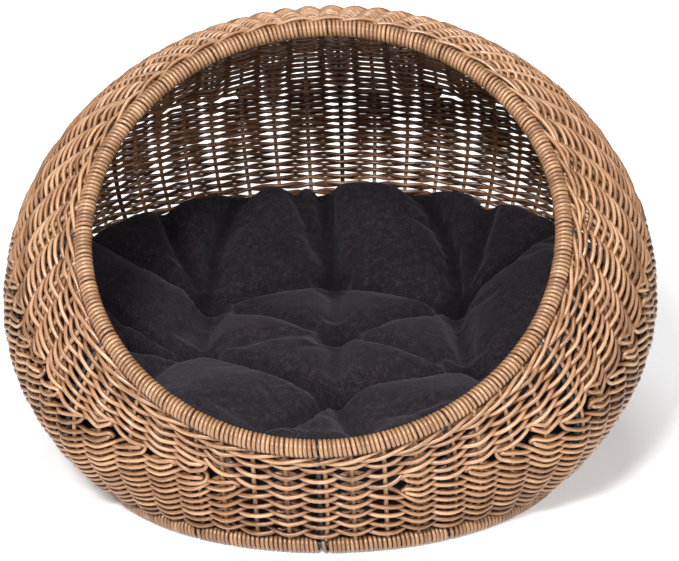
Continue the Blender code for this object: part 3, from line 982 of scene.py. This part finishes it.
def crease_lines():
    lines = []

    def polar(name):
        x, y = TUFTS[name]
        return math.atan2(y, x), math.hypot(x, y)

    def outward(name, azimuth, strength):
        phi0, r0 = polar(name)
        phi1 = math.radians(azimuth)
        while phi1 - phi0 > math.pi:
            phi1 -= 2 * math.pi
        while phi1 - phi0 < -math.pi:
            phi1 += 2 * math.pi
        line = []
        for f in np.linspace(0, 1, 22):
            phi = phi0 + (phi1 - phi0) * f**0.8
            edge = float(clear_at(np.array(phi), np.array(top_of(phi)))) - 0.016
            r = r0 + (edge - r0) * f
            line.append(dish_point(r * math.cos(phi), CUSHION_CY + r * math.sin(phi)))
        lines.append((np.array(line), strength, "out"))

    def across(a, b, strength):
        p, q = np.array(TUFTS[a]), np.array(TUFTS[b])
        line = [dish_point(*(p + (q - p) * f + (0, CUSHION_CY))) for f in np.linspace(0, 1, 16)]
        lines.append((np.array(line), strength, "in"))

    for name, azimuth, strength in (
        ("back", 94, 1.0),
        ("back", 101, 0.55),
        ("back_left", 111, 0.85),
        ("back_left", 132, 0.75),
        ("back_left", 157, 0.55),
        ("back_right", 74, 0.90),
        ("back_right", 55, 0.60),
        ("back_right", 32, 0.85),
        ("front_left", 176, 0.50),
        ("front_left", 203, 0.65),
        ("front_right", -2, 0.55),
        ("front_right", -28, 0.75),
        ("front_right", -48, 0.55),
        ("front", -80, 0.65),
        ("front", -108, 0.70),
        ("front_left", 228, 0.45),
    ):
        outward(name, azimuth, strength)
    for a, b, strength in (
        ("middle", "back", 0.30),
        ("middle", "back_left", 0.35),
        ("middle", "front_left", 0.20),
        ("middle", "front", 0.35),
        ("middle", "front_right", 0.30),
        ("middle", "back_right", 0.45),
        ("back", "back_left", 0.55),
        ("back_left", "front_left", 0.60),
        ("front_left", "front", 0.70),
        ("front", "front_right", 0.60),
        ("front_right", "back_right", 0.65),
        ("back_right", "back", 0.60),
    ):
        across(a, b, strength)
    return lines


def nearest(points, line):
    """Distance from each point to the line's samples, joined by straight pieces."""
    best = np.full(len(points), 9.0)
    for a, b in zip(line[:-1], line[1:]):
        ab = b - a
        f = np.clip(((points - a) @ ab) / max(float(ab @ ab), 1e-12), 0, 1)
        d = np.linalg.norm(points - (a + f[:, None] * ab), axis=1)
        best = np.minimum(best, d)
    return best


def read_points(me):
    out = np.empty(len(me.vertices) * 3, np.float32)
    me.vertices.foreach_get("co", out)
    return out.reshape(-1, 3).astype(float)


def read_normals(me):
    out = np.empty(len(me.vertices) * 3, np.float32)
    me.vertices.foreach_get("normal", out)
    return out.reshape(-1, 3).astype(float)


def write_points(me, points):
    me.vertices.foreach_set("co", np.asarray(points, np.float32).reshape(-1))
    me.update()


def apply_modifier(ob, name):
    with bpy.context.temp_override(object=ob, active_object=ob, selected_objects=[ob]):
        bpy.ops.object.modifier_apply(modifier=name)


def hold_inside(points):
    """Points moved in to the clear radius and up to the floor."""
    out = points.copy()
    x, y = out[:, 0], out[:, 1] - CUSHION_CY
    phi, r = np.arctan2(y, x), np.hypot(x, y)
    z = np.maximum(out[:, 2], CUSHION_Z0 + 0.0004)
    lim = clear_at(phi, z)
    f = np.where(r > lim, lim / np.maximum(r, 1e-9), 1.0)
    out[:, 0] = x * f
    out[:, 1] = y * f + CUSHION_CY
    out[:, 2] = z
    return out


def make_cushion():
    me = skin_mesh()
    ob = bpy.data.objects.new("fleece_cushion", me)
    bpy.context.scene.collection.objects.link(ob)
    bpy.context.view_layer.objects.active = ob
    ob.select_set(True)
    mod = ob.modifiers.new("remesh", "REMESH")
    mod.mode = "VOXEL"
    mod.voxel_size = 0.0050
    mod.use_smooth_shade = True
    apply_modifier(ob, "remesh")
    me = ob.data
    start = read_points(me)
    lines = crease_lines()
    tufts = [dish_point(x, y + CUSHION_CY) for x, y in TUFTS.values()]

    fold = np.zeros(len(start))
    for line, strength, _ in lines:
        fold = np.maximum(fold, strength * np.exp(-((nearest(start, line) / 0.0065) ** 2)))
    for t in tufts:
        fold = np.maximum(fold, np.exp(-((np.linalg.norm(start - t, axis=1) / 0.013) ** 2)))
    fold *= start[:, 2] > 0.03
    me.attributes.new("fold", "FLOAT", "POINT").data.foreach_set("value", fold.astype(np.float32))

    def dent(points, normals, tuft_depth, tuft_width, crease_depth, crease_width):
        move = np.zeros(len(points))
        for t in tufts:
            d = np.linalg.norm(points - t, axis=1)
            move = np.maximum(move, tuft_depth * np.exp(-((d / tuft_width) ** 2)))
        for line, strength, _ in lines:
            d = nearest(points, line)
            move = np.maximum(move, strength * crease_depth * np.exp(-((d / crease_width) ** 2)))
        return points - normals * move[:, None]

    normals = read_normals(me)
    p = dent(start, normals, 0.025, 0.016, 0.014, 0.012)
    p = hold_inside(p)
    write_points(me, p)
    group = ob.vertex_groups.new(name="hold")
    weight = np.zeros(len(p))
    for t in tufts:
        d = np.linalg.norm(start - t, axis=1)
        weight = np.maximum(weight, 1.0 * (d < 0.008))
    for line, strength, _ in lines:
        d = nearest(start, line)
        weight = np.maximum(weight, 0.80 * strength * np.exp(-((d / 0.0055) ** 2)))
    # underneath and low on the outside the cushion just rests
    weight = np.maximum(weight, 0.9 * (start[:, 2] < 0.022))
    for i in np.flatnonzero(weight > 0.03):
        group.add([int(i)], float(weight[i]), "REPLACE")
    cloth = ob.modifiers.new("cloth", "CLOTH")
    cs = cloth.settings
    cs.quality = 5
    cs.mass = 0.15
    cs.tension_stiffness = 12
    cs.compression_stiffness = 12
    cs.shear_stiffness = 4
    cs.bending_stiffness = 0.35
    cs.use_pressure = True
    cs.uniform_pressure_force = 5.0
    cs.shrink_min = -0.05
    cs.vertex_group_mass = "hold"
    cs.pin_stiffness = 1.0
    cs.effector_weights.gravity = 0
    cloth.collision_settings.use_collision = False
    cloth.collision_settings.use_self_collision = False
    cloth.point_cache.frame_start = 1
    cloth.point_cache.frame_end = 20
    scene = bpy.context.scene
    for f in range(1, 21):
        scene.frame_set(f)
    apply_modifier(ob, "cloth")
    scene.frame_set(1)
    me = ob.data
    q = read_points(me)
    shift = q - p
    size = np.linalg.norm(shift, axis=1)
    cap = 0.016
    shift *= (np.minimum(size, cap) / np.maximum(size, 1e-9))[:, None]
    p = hold_inside(p + shift)
    write_points(me, p)
    ob.vertex_groups.clear()
    sub = ob.modifiers.new("sub", "SUBSURF")
    sub.levels = sub.render_levels = 1
    apply_modifier(ob, "sub")
    me = ob.data
    p, normals = read_points(me), read_normals(me)
    # stitched dimples and the sharp middle of each crease
    fold = np.empty(len(p), np.float32)
    me.attributes["fold"].data.foreach_get("value", fold)
    p = hold_inside(p - normals * (0.0050 * fold)[:, None])
    write_points(me, p)
    for poly in me.polygons:
        poly.use_smooth = True
    return ob


def fleece():
    m, nt, bsdf = new_material("charcoal_fleece")
    L = nt.links.new
    tc = node(nt, "ShaderNodeTexCoord")
    pile = node(nt, "ShaderNodeTexNoise", Scale=620.0, Detail=3.0, Roughness=0.65)
    clump = node(nt, "ShaderNodeTexNoise", Scale=190.0, Detail=2.0, Roughness=0.5)
    soft = node(nt, "ShaderNodeTexNoise", Scale=14.0, Detail=2.0, Roughness=0.5)
    lint = node(nt, "ShaderNodeTexVoronoi", Scale=36.0)
    for n in (pile, clump, soft, lint):
        L(tc.outputs["Object"], n.inputs["Vector"])
    tone = math_node(nt, "ADD", math_node(nt, "MULTIPLY", pile.outputs["Fac"], 0.55), math_node(nt, "MULTIPLY", clump.outputs["Fac"], 0.30))
    tone = math_node(nt, "ADD", tone, math_node(nt, "MULTIPLY", soft.outputs["Fac"], 0.15))
    r = ramp(nt, [(0.34, (0.0045, 0.0035, 0.0045)), (0.52, (0.0140, 0.0108, 0.0136)), (0.70, (0.044, 0.036, 0.043))])
    L(tone, r.inputs[0])
    # a few tiny pale specks of lint
    cell = node(nt, "ShaderNodeTexWhiteNoise", noise_dimensions="3D")
    L(lint.outputs["Position"], cell.inputs["Vector"])
    rare = math_node(nt, "GREATER_THAN", cell.outputs["Value"], 0.965)
    close = math_node(nt, "LESS_THAN", lint.outputs["Distance"], 0.018)
    mask_l = math_node(nt, "MULTIPLY", math_node(nt, "MULTIPLY", rare, close), 0.55)
    mix = node(nt, "ShaderNodeMix", data_type="RGBA")
    L(mask_l, mix.inputs["Factor"])
    L(r.outputs[0], mix.inputs[6])
    mix.inputs[7].default_value = (0.55, 0.53, 0.55, 1)
    # hardly any light reaches the bottom of a fold
    fold = node(nt, "ShaderNodeAttribute", attribute_name="fold")
    deep = node(nt, "ShaderNodeMix", data_type="RGBA")
    L(math_node(nt, "MULTIPLY", fold.outputs["Fac"], 0.80, clamp=True), deep.inputs["Factor"])
    L(mix.outputs[2], deep.inputs[6])
    deep.inputs[7].default_value = (0.0012, 0.0008, 0.0012, 1)
    L(deep.outputs[2], bsdf.inputs["Base Color"])
    bsdf.inputs["Roughness"].default_value = 0.95
    bsdf.inputs["Specular IOR Level"].default_value = 0.15
    bsdf.inputs["Sheen Weight"].default_value = 0.10
    bsdf.inputs["Sheen Roughness"].default_value = 0.5
    bsdf.inputs["Sheen Tint"].default_value = (0.55, 0.50, 0.60, 1)
    bump = node(nt, "ShaderNodeBump", Strength=0.55, Distance=0.0012)
    h = math_node(nt, "ADD", math_node(nt, "MULTIPLY", pile.outputs["Fac"], 0.6), math_node(nt, "MULTIPLY", clump.outputs["Fac"], 0.6))
    L(h, bump.inputs["Height"])
    L(bump.outputs[0], bsdf.inputs["Normal"])
    return m


cushion = make_cushion()
cushion.data.materials.clear()
cushion.data.materials.append(fleece())
place(cushion, ["cushion"], body="cushion")

# ------------------------------------------------------------------ studio
scene = bpy.context.scene
scene.view_settings.view_transform = "Standard"
scene.view_settings.look = "None"
scene.view_settings.exposure = 0.0

floor_mesh = bpy.data.meshes.new("studio_floor")
floor_mesh.from_pydata([(-9, -9, 0), (9, -9, 0), (9, 9, 0), (-9, 9, 0)], [], [(0, 1, 2, 3)])
studio = bpy.data.objects.new("studio_floor", floor_mesh)
studio.location = (0, 0, -0.0002)
scene.collection.objects.link(studio)
mf, ntf, bf = new_material("studio_white")
nf = node(ntf, "ShaderNodeTexNoise", Scale=3.0)
rf = ramp(ntf, [(0.3, (0.90, 0.90, 0.905)), (0.7, (0.915, 0.915, 0.92))])
ntf.links.new(nf.outputs["Fac"], rf.inputs[0])
ntf.links.new(rf.outputs[0], bf.inputs["Base Color"])
bf.inputs["Emission Color"].default_value = (0.97, 0.975, 1.0, 1)
tcf = node(ntf, "ShaderNodeTexCoord")
far = node(ntf, "ShaderNodeVectorMath", operation="LENGTH")
ntf.links.new(tcf.outputs["Object"], far.inputs[0])
span = node(ntf, "ShaderNodeMapRange", interpolation_type="SMOOTHSTEP")
span.inputs["From Min"].default_value, span.inputs["From Max"].default_value = 0.30, 1.5
span.inputs["To Min"].default_value, span.inputs["To Max"].default_value = 0.28, 1.0
ntf.links.new(far.outputs["Value"], span.inputs["Value"])
ntf.links.new(span.outputs[0], bf.inputs["Emission Strength"])
bf.inputs["Roughness"].default_value = 0.9
bf.inputs["Specular IOR Level"].default_value = 0.1
floor_mesh.materials.append(mf)

world = bpy.data.worlds.new("studio_world")
scene.world = world
world.use_nodes = True
wn = world.node_tree
bg = wn.nodes["Background"]
lp = wn.nodes.new("ShaderNodeLightPath")
mixw = wn.nodes.new("ShaderNodeMath")
mixw.operation = "MULTIPLY_ADD"
wn.links.new(lp.outputs["Is Camera Ray"], mixw.inputs[0])
mixw.inputs[1].default_value = 0.96
mixw.inputs[2].default_value = 0.06
wn.links.new(mixw.outputs[0], bg.inputs["Strength"])
bg.inputs["Color"].default_value = (1, 1, 1, 1)


def area(name, location, target, size, energy, colour=(1, 1, 1)):
    data = bpy.data.lights.new(name, "AREA")
    data.shape = "RECTANGLE"
    data.size, data.size_y = size
    data.energy = energy
    data.color = colour
    ob = bpy.data.objects.new(name, data)
    ob.location = location
    ob.rotation_euler = (Vector(target) - Vector(location)).to_track_quat("-Z", "Y").to_euler()
    scene.collection.objects.link(ob)
    return ob


area("key", (-0.5, -2.1, 1.9), (0, 0, 0.12), (0.55, 0.40), 84)
area("fill", (0.9, -1.9, 1.45), (0, 0, 0.12), (0.6, 0.5), 24)
area("top", (0.0, -0.2, 2.4), (0, 0, 0.2), (1.2, 1.2), 26)

cam_data = bpy.data.cameras.new("camera")
cam_data.sensor_fit = "HORIZONTAL"
cam_data.sensor_width = 36.0
cam_data.lens = 2281.19 / 679 * 36.0
cam_data.clip_start, cam_data.clip_end = 0.05, 60
cam = bpy.data.objects.new("camera", cam_data)
e, az, roll = math.radians(20.28), math.radians(-2.66), math.radians(-1.1)
fw = np.array((math.sin(az) * math.cos(e), math.cos(az) * math.cos(e), -math.sin(e)))
eye = np.array((0.0082, FY, 0.1509)) - fw * 1.7863
right = np.cross(fw, (0, 0, 1.0))
right /= np.linalg.norm(right)
up = np.cross(right, fw)
r2 = right * math.cos(roll) + up * math.sin(roll)
u2 = -right * math.sin(roll) + up * math.cos(roll)
cam.matrix_world = Matrix(
    [
        [r2[0], u2[0], -fw[0], eye[0]],
        [r2[1], u2[1], -fw[1], eye[1]],
        [r2[2], u2[2], -fw[2], eye[2]],
        [0, 0, 0, 1],
    ]
)
scene.collection.objects.link(cam)
scene.camera = cam

bpy.context.view_layer.update()
